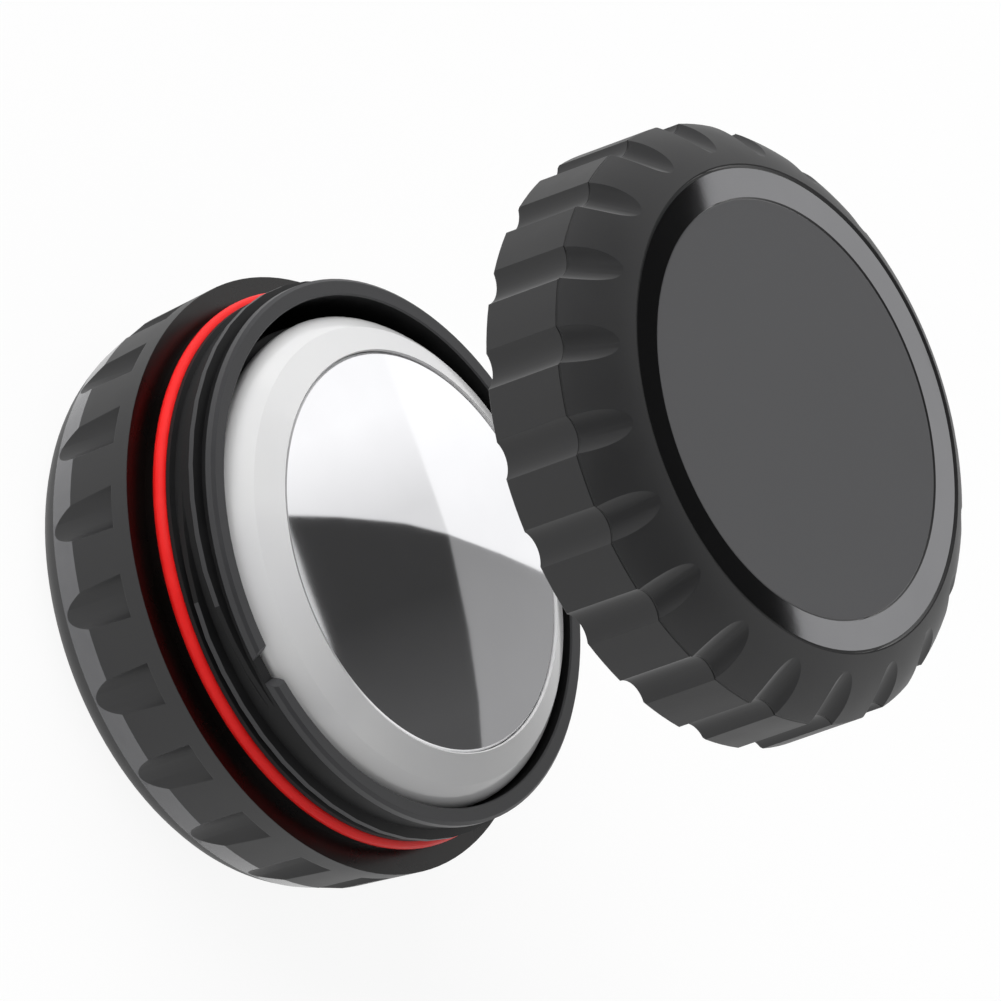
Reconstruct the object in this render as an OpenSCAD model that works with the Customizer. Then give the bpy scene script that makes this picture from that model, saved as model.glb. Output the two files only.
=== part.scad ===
// Tracker tag holder: a round screw-cap case for a coin-shaped tracking tag.
// The cap stands raised above the tag, which sits in the open base.
// Millimetres. Z is the screw axis and the base stands on z = 0.

/* [Base] */
// Height of the base from its foot to the ledge the cap closes on
base_h = 9.4; // [8:0.1:12]
// Outer radius at the ledge
base_r = 19.4; // [19:0.05:21]
// Outer radius at the top of the bevel
bevel_top_r = 18.95; // [18.8:0.05:20]
// Height of the top of the bevel
bevel_top_z = 4.35; // [3.5:0.05:5]
// Outer radius at the foot of the bevel
bevel_foot_r = 18.35; // [18:0.05:19]
// Height of the foot of the bevel
bevel_foot_z = 2.4; // [2:0.05:3]
// Radius of the rounding below the bevel
foot_round = 3.2; // [2.5:0.1:3.6]
// Inner radius of the pocket that holds the tag
pocket_r = 16.6; // [16.1:0.05:16.7]
// Thickness of the pocket floor above the foot pad
floor_t = 1.4; // [1:0.1:2]
// Radius of the rounding between the pocket floor and wall
pocket_round = 0.8; // [0.3:0.1:1.5]

/* [Foot pad] */
// Radius of the foot pad
pad_r = 14.0; // [10:0.1:14.5]
// Thickness of the foot pad
pad_t = 0.9; // [0.5:0.1:1.2]

/* [Neck] */
// Height of the neck above the ledge
neck_h = 5.6; // [5.4:0.05:6]
// Outer radius of the plain neck and its lip
neck_r = 17.7; // [17.6:0.01:17.72]
// Outer radius of the neck between the threads
neck_root_r = 17.4; // [17.2:0.01:17.5]
// Height of the lip at the top of the neck
lip_h = 0.75; // [0.5:0.05:0.9]
// Chamfer on the outer edge of the rim
rim_chamfer = 0.2; // [0.1:0.05:0.3]
// Chamfer on the inner edge of the rim
mouth_chamfer = 0.1; // [0.1:0.05:0.4]
// Width of the notch across the rim
notch_w = 2.0; // [1:0.1:3]
// Depth of the notch across the rim
notch_d = 0.8; // [0.4:0.1:1.2]
// Width of the bevel on the notch
notch_flare = 0.36; // [0.3:0.02:0.5]
// Direction of the notch around the rim
notch_angle = 280; // [0:1:359]

/* [Thread] */
// Rise of the thread in one turn
pitch = 1.45; // [1.2:0.01:1.6]
// Whole turns the cap makes on the thread
turns = 2; // [1:1:2]
// Crest radius of the thread on the neck
male_r = 18.0; // [17.9:0.01:18.05]
// Height of the first thread centre above the ledge
male_z = 2.55; // [2.4:0.01:2.7]
// Length of the thread on the neck in turns
male_turns = 1.17; // [0.8:0.01:1.2]
// Width of the thread at its root
ridge_base_w = 0.9; // [0.6:0.01:0.95]
// Width of the thread at its crest
ridge_crest_w = 0.36; // [0.2:0.01:0.5]
// Crest radius of the thread in the cap
female_r = 17.8; // [17.78:0.01:17.9]
// Height of the first thread centre above the mouth of the cap
female_z = 2.25; // [2.1:0.01:2.4]
// Length of the thread in the cap in turns
female_turns = 1.3; // [0.8:0.01:1.4]
// Width of the cap's thread at its root
female_base_w = 0.8; // [0.5:0.01:0.9]

/* [Seal ring] */
// Cross-section radius of the seal ring
seal_section_r = 0.48; // [0.4:0.01:0.5]
// Height of the seal ring's centre above the ledge
seal_z = 1.2; // [1.1:0.05:1.3]
// Radius of the seal ring's centre line
seal_ring_r = 17.6; // [17.5:0.01:17.62]

/* [Grip] */
// Number of scallops round each half
scallops = 21; // [12:1:30]
// Radius of each scallop
scallop_r = 1.6; // [1:0.05:2.5]
// Distance from the axis to the bottom of a scallop in the base
base_groove_r = 18.4; // [18.35:0.01:18.8]
// Distance from the ledge down to the end of the base scallops
groove_end = 1.4; // [1:0.1:2]
// Distance from the axis to the bottom of a scallop in the cap
cap_groove_r = 18.5; // [18.45:0.01:18.8]

/* [Cap] */
// Height of the raised cap's mouth above the ledge
cap_raise = 28.7; // [26:0.1:40]
// Gap left under the closed cap
closed_gap = 0.1; // [0.05:0.05:0.2]
// Thickness of the cap's side around its bore
cap_wall = 1.05; // [1:0.01:1.9]
// Height of the straight side of the cap
cap_side_h = 5.62; // [5.4:0.01:6.2]
// Inward draft of the straight side
cap_draft = 0.02; // [0:0.01:0.2]
// Outer radius of the cap at its face
cap_top_r = 15.6; // [15.5:0.01:16]
// Height of the cap
cap_h = 8.9; // [8.8:0.01:9.2]
// Radius of the shoulder between side and face
cap_shoulder_r = 7.5; // [6.8:0.1:9]
// Distance from the axis to the upper end of a cap scallop
groove_tip_r = 16.6; // [16.2:0.05:17]
// Height of the upper end of a cap scallop
groove_tip_z = 8.3; // [8:0.05:8.6]
// Bore of the cap around the thread and the seal ring
cap_bore_r = 18.1; // [18.09:0.01:18.15]
// Radius of the narrower bore above the thread
cap_upper_r = 17.95; // [17.8:0.01:18]
// Height of the top of the narrower bore
cap_upper_z = 5.75; // [5.6:0.01:5.9]
// Height of the ceiling inside the cap
ceiling_z = 7.3; // [7.2:0.05:7.5]
// Radius of the ceiling inside the cap
ceiling_r = 16.4; // [15.6:0.05:16.5]

/* [Cap face] */
// Depth of the recess for the face plates
face_recess = 0.85; // [0.6:0.05:0.9]
// Outer radius of the glossy face ring
face_ring_r = 15.45; // [15.2:0.01:15.5]
// Radius of the satin face disc
face_disc_r = 13.42; // [12.5:0.01:14]
// Gap around each face plate
face_gap = 0.06; // [0.03:0.01:0.1]
// Depth of the face ring below the edge of the cap
face_ring_sink = 0.08; // [0:0.01:0.2]
// Depth of the face disc below the face ring
face_disc_sink = 0.06; // [0:0.01:0.2]

/* [Cap liner] */
// Radius of the loose foam liner
liner_r = 15.0; // [14:0.1:15.5]
// Thickness of the foam liner
liner_t = 2.96; // [2.5:0.01:3]

/* [Tag] */
// Height of the lowest point of the tag
tag_z = 8.6; // [8:0.1:9.5]
// Largest radius of the tag
tag_r = 15.95; // [15.9:0.01:16]
// How far the tag and its dish lie to one side in the pocket
tag_shift = 0.5; // [0:0.05:0.5]
// Height of the tag
tag_h = 8.0; // [7.9:0.1:8.1]
// Height of the widest line of the tag above its lowest point
tag_wide_z = 5.4; // [5:0.1:5.6]
// Roundness of the domed side
dome_power = 2.4; // [2:0.1:3]
// Roundness of the rim around the steel cover
rim_power = 1.4; // [1.3:0.05:2]
// Thickness of the shell at the middle of the dome
shell_t = 0.95; // [0.8:0.01:1.2]
// Radius of the opening for the steel cover
shell_mouth_r = 13.0; // [12.9:0.01:13.2]
// Rounding of the edge round the steel cover
shell_lip = 0.08; // [0.05:0.01:0.12]
// Depth of the opening for the steel cover
shell_mouth_d = 0.65; // [0.6:0.01:0.7]
// Inner radius of the bayonet lugs
lug_r = 12.3; // [12.2:0.05:12.5]
// Thickness of the bayonet lugs
lug_t = 0.35; // [0.3:0.01:0.4]
// Number of bayonet lugs
lugs = 3; // [2:1:4]
// Angle of the gap between two lugs
lug_gap = 30; // [28:1:40]

/* [Steel cover] */
// Radius of the steel cover
cover_r = 12.9; // [12.8:0.01:12.95]
// Thickness of the steel cover at its edge
cover_edge_t = 0.28; // [0.25:0.01:0.3]
// Rise of the steel cover from its edge to its middle
cover_crown = 0.1; // [0:0.01:0.15]
// Outer radius of the carrier under the cover
carrier_r = 12.2; // [12:0.05:12.25]
// Inner radius of the carrier
carrier_in_r = 11.2; // [11:0.05:11.6]
// Height of the foot of the carrier above the tag's lowest point
carrier_z = 6.5; // [6.45:0.01:6.55]
// Radius of the tabs on the carrier
tab_r = 12.85; // [12.6:0.01:12.9]
// Thickness of the tabs
tab_t = 0.4; // [0.3:0.01:0.42]
// Angle of one tab
tab_angle = 24; // [16:1:26]
// Clearance above and below the cover's seal
cover_seal_gap = 0.02; // [0.01:0.01:0.05]

/* [Coin cell] */
// Radius of the coin cell
cell_r = 10.0; // [9.9:0.05:10]
// Height of the coin cell
cell_h = 3.2; // [3:0.05:3.2]
// Height of the coin cell above the tag's lowest point
cell_z = 4.1; // [4.05:0.01:4.15]
// Wall thickness of the cell's can and cap
cell_wall = 0.25; // [0.2:0.01:0.3]
// Radius of the cell's negative cap
cell_cap_r = 8.7; // [8.5:0.05:8.8]

/* [Tag frame] */
// Height of the frame's floor above the tag's lowest point
frame_z = 3.45; // [3.4:0.01:3.5]
// Thickness of the frame's floor
frame_floor_t = 0.4; // [0.3:0.01:0.42]
// Distance from the tag's widest line in to the frame
frame_inset = 2.45; // [2.4:0.05:2.7]
// Wall thickness of the frame
frame_wall = 0.6; // [0.4:0.05:0.8]
// Thickness of the antenna traces
trace_t = 0.1; // [0.05:0.01:0.15]
// Height of the foot of the antenna traces above the tag's lowest point
trace_z = 4.3; // [4.2:0.05:4.4]
// Height of the band of antenna traces
trace_h = 1.65; // [1.2:0.05:1.8]
// Width of one antenna trace
trace_w = 0.5; // [0.3:0.05:0.55]
// Inner radius of the well for the coin cell
well_r = 10.3; // [10.25:0.05:10.4]
// Height of the top of the well above the tag's lowest point
well_top = 6.3; // [6:0.05:6.4]

/* [Tag electronics] */
// Outer radius of the circuit board
board_r = 11.5; // [11:0.1:11.6]
// Inner radius of the circuit board
board_in_r = 5.6; // [5.4:0.1:6]
// Height of the circuit board above the tag's lowest point
board_z = 2.5; // [2.45:0.01:2.6]
// Thickness of the circuit board
board_t = 0.6; // [0.4:0.05:0.65]
// Number of chips under the board
chips = 6; // [3:1:6]
// Side of the larger chips
chip_w = 2.8; // [2:0.1:3]
// Size of the smaller chips as a share of the larger
chip_share = 0.7; // [0.5:0.05:1]
// Thickness of the chips
chip_t = 0.62; // [0.4:0.02:0.7]
// Distance of the chips from the axis
chip_ring_r = 7.4; // [7.2:0.1:7.6]
// Gap left between the chips and the board
chip_gap = 0.01; // [0.01:0.01:0.02]
// Number of small parts on top of the board
small_parts = 18; // [6:1:24]
// Width of the small parts
small_w = 0.45; // [0.3:0.05:0.5]
// Distance of the small parts from the axis
small_ring_r = 9.9; // [9:0.1:10.2]
// Radius of the speaker magnet
magnet_r = 2.8; // [2.5:0.05:2.9]
// Height of the speaker magnet
magnet_h = 1.6; // [1.4:0.05:1.7]
// Outer radius of the speaker yoke
yoke_r = 5.2; // [5:0.05:5.3]
// Inner radius of the speaker yoke's wall
yoke_in_r = 4.0; // [3.95:0.05:4.2]
// Thickness of the speaker yoke's plate
yoke_t = 0.4; // [0.3:0.02:0.44]
// Height of the voice coil
coil_h = 1.6; // [1.4:0.05:1.65]

/* [Cushion and dish] */
// Radius of the foam cushion
cushion_r = 14.5; // [13:0.1:15.4]
// Height of the underside of the dish
dish_z = 7.5; // [7.2:0.1:7.6]
// Outer radius of the dish
dish_r = 15.98; // [15.9:0.01:16.1]
// Height of the dish's rim
dish_top = 12.0; // [11:0.1:12.4]
// Gap between the dish and the tag
dish_gap = 0.05; // [0.02:0.01:0.1]

/* [Hidden] */
$fn = 96;
eps = 0.01;
over = 1;
groove_overlap = 0.03;
floor_z = pad_t + floor_t;
rim_z = base_h + neck_h;
cap_z = base_h + cap_raise;
cap_travel = pitch * turns;
groove_pitch = 360 / scallops;
cap_r = cap_bore_r + cap_wall;
cap_seam_r = cap_r - cap_draft;
cap_recess_z = cap_h - face_recess;
face_split = face_disc_r + face_gap;
female_phase = 360 * ((female_z + closed_gap - male_z) / pitch + 0.5);
male_phase = 233;
steps_per_turn = 48;
dome_steps = 18;
frame_r = tag_r - frame_inset;
frame_floor_top = frame_z + frame_floor_t;
carrier_top = tag_h - cover_crown - cover_edge_t;
seat_z = tag_h - shell_mouth_d;
lug_z = seat_z - lug_t;
tilt_run = cap_groove_r - groove_tip_r;
tilt_rise = groove_tip_z - cap_side_h;
groove_tilt = atan2(tilt_run, tilt_rise);

function arc(cx, cz, r, a0, a1, n = 12) =
  [for (i = [0:n]) [cx + r * cos(a0 + (a1 - a0) * i / n), cz + r * sin(a0 + (a1 - a0) * i / n)]];

// Height of a dome of half-width a and depth b at radius r, with its widest line at z = top
function dome(r, a, b, top) = top - b * sqrt(max(0, 1 - pow(r / a, dome_power)));
function dome_line(a, b, top, r0 = 0, n = dome_steps) =
  [for (i = [0:n]) let (r = r0 + (a - r0) * sin(90 * i / n)) [r, dome(r, a, b, top)]];

// Rounded slope from the widest line up to the mouth
function rim_line(a, mouth, z0, z1, n = 20) = let (k = 2 / rim_power)
  [for (i = [1:n]) [mouth + (a - mouth) * pow(cos(90 * i / n), k), z0 + (z1 - z0) * pow(sin(90 * i / n), k)]];

// Centre of the circle of radius r through two points of a profile, on the inner side
function arc_centre(p, q, r) = let (
  m = (p + q) / 2,
  d = norm(q - p),
  h = sqrt(r * r - d * d / 4)
) [m[0] - h * (q[1] - p[1]) / d, m[1] + h * (q[0] - p[0]) / d];
function arc_between(p, q, r, n = 14) = let (
  c = arc_centre(p, q, r),
  a0 = atan2(p[1] - c[1], p[0] - c[0]),
  a1 = atan2(q[1] - c[1], q[0] - c[0])
) arc(c[0], c[1], r, a0, a1, n);

module lathe(points) rotate_extrude($fn = 180) polygon(points);

module tube(r_out, r_in, z0, z1) translate([0, 0, z0]) difference() {
  cylinder(r = r_out, h = z1 - z0, $fn = 180);
  translate([0, 0, -over]) cylinder(r = r_in, h = z1 - z0 + 2 * over, $fn = 180);
}

// Part of a ring between two angles
module sector(r_out, r_in, z0, z1, a0, a1) translate([0, 0, z0])
  rotate([0, 0, a0]) rotate_extrude(angle = a1 - a0, $fn = 180)
    translate([r_in, 0]) square([r_out - r_in, z1 - z0]);

// Helical ridge from the buried radius to the crest, thinned out at both ends
module ridge(buried_r, crest_r, z0, length, base_w, crest_w, phase) {
  n = ceil(length * steps_per_turn);
  fade = 5;
  points = [for (i = [0:n]) let (
    a = phase + 360 * length * i / n,
    z = z0 + pitch * length * i / n,
    k = min(1, 0.04 + min(i, n - i) / fade),
    r = buried_r + (crest_r - buried_r) * k
  ) each [
    [buried_r * cos(a), buried_r * sin(a), z - base_w / 2],
    [r * cos(a), r * sin(a), z - crest_w / 2],
    [r * cos(a), r * sin(a), z + crest_w / 2],
    [buried_r * cos(a), buried_r * sin(a), z + base_w / 2],
  ]];
  sides = [for (i = [0:n - 1], k = [0:3]) let (
    p = 4 * i + k,
    q = 4 * i + (k + 1) % 4
  ) each [[p, q, p + 4], [q, q + 4, p + 4]]];
  flip = crest_r < buried_r;
  faces = concat(sides, [[0, 2, 1], [0, 3, 2]], [[4 * n, 4 * n + 1, 4 * n + 2], [4 * n, 4 * n + 2, 4 * n + 3]]);
  polyhedron(points, flip ? [for (f = faces) [f[2], f[1], f[0]]] : faces);
}

module base_scallops() for (i = [0:scallops - 1]) rotate([0, 0, i * groove_pitch])
  translate([base_groove_r + scallop_r, 0, -over])
    cylinder(r = scallop_r, h = base_h - groove_end + over, $fn = 64);

module cap_scallops() for (i = [0:scallops - 1]) rotate([0, 0, i * groove_pitch]) {
  translate([cap_groove_r + scallop_r, 0, -over])
    cylinder(r = scallop_r, h = cap_side_h + groove_overlap + over, $fn = 64);
  translate([cap_groove_r, 0, cap_side_h]) rotate([0, -groove_tilt, 0])
    translate([scallop_r, 0, -0.45]) cylinder(r = scallop_r, h = 6, $fn = 64);
}

module rim_notch() rotate([0, 0, notch_angle]) translate([pocket_r - over, 0, rim_z - notch_d])
  rotate([90, 0, 90]) linear_extrude(4) polygon([
    [-notch_w / 2 + 0.2, 0], [notch_w / 2 - 0.2, 0], [notch_w / 2, notch_d - notch_flare],
    [notch_w / 2 + notch_flare, notch_d + 0.1], [-notch_w / 2 - notch_flare, notch_d + 0.1],
    [-notch_w / 2, notch_d - notch_flare],
  ]);

// Matt black plastic base with its screw neck and the pocket for the tag
module base_body() color("#3f3f41") {
  groove_half = seal_section_r + 0.03;
  groove_floor = seal_ring_r - seal_section_r;
  difference() {
    union() {
      difference() {
        lathe(concat(
          [[0, 0], [bevel_foot_r - foot_round + 0.05, 0]],
          arc(bevel_foot_r - foot_round + 0.05, foot_round, foot_round, -80, -15, 8),
          [[bevel_foot_r, bevel_foot_z], [bevel_top_r, bevel_top_z], [base_r, base_h]],
          [[neck_r, base_h], [neck_r, base_h + seal_z - groove_half]],
          [[groove_floor, base_h + seal_z - groove_half], [groove_floor, base_h + seal_z + groove_half]],
          [[neck_r, base_h + seal_z + groove_half], [neck_r, base_h + male_z - ridge_base_w / 2 - 0.1]],
          [[neck_root_r, base_h + male_z - ridge_base_w / 2 + 0.1], [neck_root_r, rim_z - lip_h - 0.15]],
          [[neck_r, rim_z - lip_h + 0.1], [neck_r, rim_z - rim_chamfer], [neck_r - rim_chamfer, rim_z], [0, rim_z]]
        ));
        base_scallops();
      }
      ridge(neck_root_r - 0.12, male_r, base_h + male_z, male_turns, ridge_base_w, ridge_crest_w, male_phase);
    }
    lathe(concat(
      [[0, floor_z], [pocket_r - pocket_round, floor_z]],
      arc(pocket_r - pocket_round, floor_z + pocket_round, pocket_round, -90, 0, 6),
      [[pocket_r, rim_z - mouth_chamfer], [pocket_r + mouth_chamfer + 0.1, rim_z + 0.1], [0, rim_z + 0.1]]
    ));
    translate([0, 0, -over]) cylinder(r = pad_r + 0.05, h = pad_t + over, $fn = 180);
    rim_notch();
  }
}

// Soft foot pad set flush in the underside
module foot_pad() color("#2b2b2c") cylinder(r = pad_r, h = pad_t, $fn = 180);

// Red rubber seal ring in the groove of the neck
module seal_ring() color("#e02626") translate([0, 0, base_h + seal_z]) rotate_extrude($fn = 180)
  translate([seal_ring_r, 0]) circle(r = seal_section_r, $fn = 40);

// Springy foam cushion under the dish
module cushion() color("#38383a") translate([0, 0, floor_z])
  cylinder(r = cushion_r, h = dish_z - floor_z, $fn = 180);

// Shallow dish that carries the tag on the cushion
module tag_dish() color("#343436") translate([tag_shift, 0, 0]) lathe(concat(
  [[0, dish_z], [dish_r - 3.2, dish_z], [dish_r - 1.0, dish_z + 0.9], [dish_r, dish_z + 2.6], [dish_r, dish_top]],
  [for (i = [dome_steps - 3:-1:0]) let (
    r = tag_r * sin(72 * i / (dome_steps - 3))
  ) [r, tag_z - dish_gap + dome(r, tag_r, tag_wide_z, tag_wide_z)]]
));

// Matt black plastic cap with its inner thread
module cap_body() color("#3d3d3f") translate([0, 0, cap_z]) {
  shoulder = arc_between([cap_seam_r, cap_side_h], [cap_top_r, cap_h], cap_shoulder_r);
  difference() {
    lathe(concat([[0, 0], [cap_r - 0.12, 0], [cap_r, 0.12]], shoulder, [[0, cap_h]]));
    cap_scallops();
    lathe([
      [0, -over], [cap_bore_r + 0.15, -over], [cap_bore_r + 0.15, 0], [cap_bore_r, 0.2],
      [cap_bore_r, cap_upper_z - 0.6], [cap_upper_r, cap_upper_z - 0.45], [cap_upper_r, cap_upper_z],
      [ceiling_r, ceiling_z], [0, ceiling_z],
    ]);
    translate([0, 0, cap_recess_z]) cylinder(r = face_ring_r + face_gap, h = over + face_recess, $fn = 180);
  }
  ridge(cap_bore_r + 0.14, female_r, female_z, female_turns, female_base_w, ridge_crest_w, male_phase + female_phase);
}

// Glossy ring around the face
module cap_face_ring() color("#5a5a5c") translate([0, 0, cap_z + cap_recess_z]) {
  h = face_recess - face_ring_sink;
  difference() {
    lathe([[0, 0], [face_ring_r, 0], [face_ring_r, h - 0.12], [face_ring_r - 0.12, h], [0, h]]);
    translate([0, 0, -over]) cylinder(r = face_split, h = h + 2 * over, $fn = 180);
  }
}

// Satin disc in the middle of the face
module cap_face_disc() color("#585858") translate([0, 0, cap_z + cap_recess_z]) {
  h = face_recess - face_ring_sink - face_disc_sink;
  lathe([[0, 0], [face_disc_r, 0], [face_disc_r, h - 0.08], [face_disc_r - 0.08, h], [0, h]]);
}

// Loose foam liner that the cap turns on and that rests on the tag
module cap_liner() color("#4a4a4c") translate([0, 0, cap_z + ceiling_z - liner_t - 0.04])
  cylinder(r = liner_r, h = liner_t, $fn = 180);

// White plastic shell of the tag, domed below and open above
module tag_shell() color("#f2f2f2") translate([tag_shift, 0, tag_z]) difference() {
  lathe(concat(
    dome_line(tag_r, tag_wide_z, tag_wide_z),
    rim_line(tag_r, shell_mouth_r + shell_lip, tag_wide_z, tag_h),
    [[shell_mouth_r, tag_h - shell_lip], [shell_mouth_r, seat_z]],
    [[lug_r, seat_z], [lug_r, lug_z], [frame_r + 0.4, lug_z], [tag_r - 1.4, lug_z - 0.5]],
    [for (p = [dome_steps:-1:0]) dome_line(tag_r - shell_t, tag_wide_z - shell_t, tag_wide_z)[p]]
  ));
  for (i = [0:lugs - 1]) rotate([0, 0, i * 360 / lugs])
    sector(shell_mouth_r + 0.04, lug_r - 0.5, lug_z - 0.05, seat_z + 0.05, -lug_gap / 2, lug_gap / 2);
}

// Plastic frame with the well for the coin cell
module tag_frame() color("#e6e6e4") translate([tag_shift, 0, tag_z]) {
  difference() {
    tube(frame_r, 1.2, frame_z, frame_floor_top);
    for (a = [60, 240]) rotate([0, 0, a]) translate([7, 0, frame_z - over]) cylinder(r = 0.8, h = 3, $fn = 32);
  }
  difference() {
    tube(frame_r, frame_r - frame_wall, frame_floor_top - eps, well_top);
    for (i = [0:2]) rotate([0, 0, 120 * i + 60]) translate([frame_r, 0, well_top]) cube([3, 2.4, 1.6], center = true);
  }
  difference() {
    tube(well_r + frame_wall, well_r, frame_floor_top - eps, well_top);
    for (a = [0, 180]) rotate([0, 0, a + 90]) translate([well_r, 0, well_top]) cube([3, 3, 2.4], center = true);
  }
  for (i = [0:5]) rotate([0, 0, 60 * i + 30])
    translate([well_r + frame_wall - 0.05, -0.3, frame_floor_top - eps])
      cube([frame_r - frame_wall - well_r - frame_wall + 0.1, 0.6, 1.2]);
}

// Copper antenna traces on the outside of the frame
module antenna_traces() color("#b8733a") translate([tag_shift, 0, tag_z]) for (i = [0:2]) rotate([0, 0, 120 * i])
  difference() {
    sector(frame_r + trace_t, frame_r, trace_z, trace_z + trace_h, 8, 96);
    sector(frame_r + 1, frame_r - 1, trace_z + trace_w, trace_z + trace_h - trace_w, 12, 97);
    sector(frame_r + 1, frame_r - 1, trace_z - 1, trace_z + trace_w + 0.1, 80, 97);
  }

// Ring-shaped circuit board
module circuit_board() color("#1f5b3a") translate([tag_shift, 0, tag_z]) difference() {
  tube(board_r, board_in_r, board_z, board_z + board_t);
  for (i = [0:2]) rotate([0, 0, 120 * i + 20]) translate([board_r - 0.9, 0, board_z - over])
    cylinder(r = 0.5, h = 3, $fn = 32);
}

// Chips and small parts on both faces of the board
module board_chips() color("#26262a") translate([tag_shift, 0, tag_z]) {
  for (i = [0:chips - 1]) let (side = chip_w * (i % 2 == 0 ? 1 : chip_share)) rotate([0, 0, i * 360 / chips + 20])
    translate([chip_ring_r - side / 2, -side / 2, board_z - chip_t]) cube([side, side, chip_t - chip_gap]);
  for (i = [0:small_parts - 1]) rotate([0, 0, i * 360 / small_parts + 7])
    translate([small_ring_r, -small_w / 2, board_z + board_t + chip_gap]) cube([2 * small_w, small_w, small_w / 2]);
}

// Sprung contact under the middle of the coin cell
module contact_centre() color("#c9a14a") translate([tag_shift, 0, tag_z + frame_floor_top]) {
  translate([1.4, -0.6, 0]) cube([4.2, 1.2, 0.12]);
  translate([1.4, -0.6, 0]) rotate([0, -3, 0]) cube([2.4, 1.2, 0.1]);
}

// Two contacts beside the coin cell
module contacts_side() color("#c9a14a") translate([tag_shift, 0, tag_z]) for (a = [0, 180])
  sector(well_r - 0.03, cell_r + 0.1, frame_floor_top + 0.02, well_top + 0.1, a - 8, a + 8);

// Steel yoke of the speaker
module speaker_yoke() color("#8d9196") translate([tag_shift, 0, tag_z + frame_z - yoke_t - 0.03]) {
  cylinder(r = yoke_r, h = yoke_t, $fn = 120);
  tube(yoke_r, yoke_in_r, -magnet_h, eps);
}

// Magnet in the middle of the speaker
module speaker_magnet() color("#6f7378") translate([tag_shift, 0, tag_z + frame_z - yoke_t - 0.03 - magnet_h])
  cylinder(r = magnet_r, h = magnet_h - 0.01, $fn = 96);

// Voice coil fixed to the inside of the dome
module voice_coil() color("#a8622c") translate([tag_shift, 0, tag_z])
  tube(yoke_in_r - 0.25, magnet_r + 0.25, shell_t + 0.1, shell_t + 0.1 + coil_h);

// Polished steel cover of the tag
module tag_cover() color("#c9cbce") translate([tag_shift, 0, tag_z + tag_h - cover_crown]) lathe(concat(
  [[0, -cover_edge_t], [cover_r, -cover_edge_t], [cover_r, -0.1], [cover_r - 0.1, 0]],
  [for (i = [11:-1:0]) let (r = (cover_r - 0.1) * i / 12) [r, cover_crown * (1 - pow(r / (cover_r - 0.1), 2))]]
));

// Plastic carrier under the cover, with the bayonet tabs
module cover_carrier() color("#dcdcda") translate([tag_shift, 0, tag_z]) {
  tube(carrier_r, carrier_in_r, carrier_z, carrier_top);
  for (i = [0:lugs - 1]) rotate([0, 0, i * 360 / lugs])
    sector(tab_r, carrier_r - 0.2, carrier_z, carrier_z + tab_t, -tab_angle / 2, tab_angle / 2);
}

// Thin seal between the cover and the shell
module cover_seal() color("#3a3a3c") translate([tag_shift, 0, tag_z])
  tube(cover_r - 0.05, carrier_r + 0.05, seat_z + cover_seal_gap, carrier_top - cover_seal_gap);

// Positive can of the coin cell
module cell_can() color("#bfc2c6") translate([tag_shift, 0, tag_z + cell_z]) {
  tube(cell_r, cell_r - cell_wall, 0.3, cell_h - 0.15);
  translate([0, 0, cell_h - cell_wall]) difference() {
    lathe([[0, 0], [cell_r, 0], [cell_r, 0.1], [cell_r - 0.15, cell_wall], [0, cell_wall]]);
  }
}

// Negative cap of the coin cell
module cell_cap() color("#a9adb2") translate([tag_shift, 0, tag_z + cell_z]) {
  cylinder(r = cell_cap_r, h = cell_wall, $fn = 180);
  tube(cell_cap_r, cell_cap_r - cell_wall, cell_wall - eps, cell_h - 0.6);
}

// Insulating gasket between can and cap
module cell_gasket() color("#1e1e20") translate([tag_shift, 0, tag_z + cell_z])
  tube(cell_r - cell_wall - 0.01, cell_cap_r + 0.01, 0.25, cell_h - cell_wall - 0.01);

// Pressed cell filling
module cell_core() color("#4b4b4d") translate([tag_shift, 0, tag_z + cell_z + cell_wall + 0.01])
  cylinder(r = cell_cap_r - cell_wall - 0.02, h = cell_h - 0.6 - cell_wall - 0.02, $fn = 120);

base_body();
foot_pad();
seal_ring();
cushion();
tag_dish();
cap_body();
cap_face_ring();
cap_face_disc();
cap_liner();
tag_shell();
tag_frame();
antenna_traces();
circuit_board();
board_chips();
contact_centre();
contacts_side();
speaker_yoke();
speaker_magnet();
voice_coil();
tag_cover();
cover_carrier();
cover_seal();
cell_can();
cell_cap();
cell_gasket();
cell_core();
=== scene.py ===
# Tracker tag holder: looks for the screw-cap case, the tag that sits in it and the small parts inside
import bpy
from math import cos, hypot, pi, radians, sin
from mathutils import Matrix, Quaternion, Vector


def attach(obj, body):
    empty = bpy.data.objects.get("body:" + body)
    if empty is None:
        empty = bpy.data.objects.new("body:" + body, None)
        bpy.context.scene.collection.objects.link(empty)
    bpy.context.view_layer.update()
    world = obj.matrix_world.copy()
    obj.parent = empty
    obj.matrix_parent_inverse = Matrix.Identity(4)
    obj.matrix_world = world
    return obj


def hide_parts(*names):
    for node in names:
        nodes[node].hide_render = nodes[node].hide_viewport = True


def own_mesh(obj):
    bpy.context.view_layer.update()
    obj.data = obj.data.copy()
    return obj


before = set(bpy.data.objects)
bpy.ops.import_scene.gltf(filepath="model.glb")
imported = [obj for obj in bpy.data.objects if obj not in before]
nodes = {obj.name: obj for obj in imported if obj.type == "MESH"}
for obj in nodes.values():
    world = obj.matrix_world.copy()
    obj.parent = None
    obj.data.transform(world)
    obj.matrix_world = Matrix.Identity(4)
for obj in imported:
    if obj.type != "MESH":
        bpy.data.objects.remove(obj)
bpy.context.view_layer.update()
scene = bpy.context.scene
print("frame loaded,", len(nodes), "nodes")


def mm(value):
    return value / 1000.0


srgbCurve = {"foot": 0.04045, "slope": 12.92, "offset": 0.055, "power": 2.4}


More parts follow.
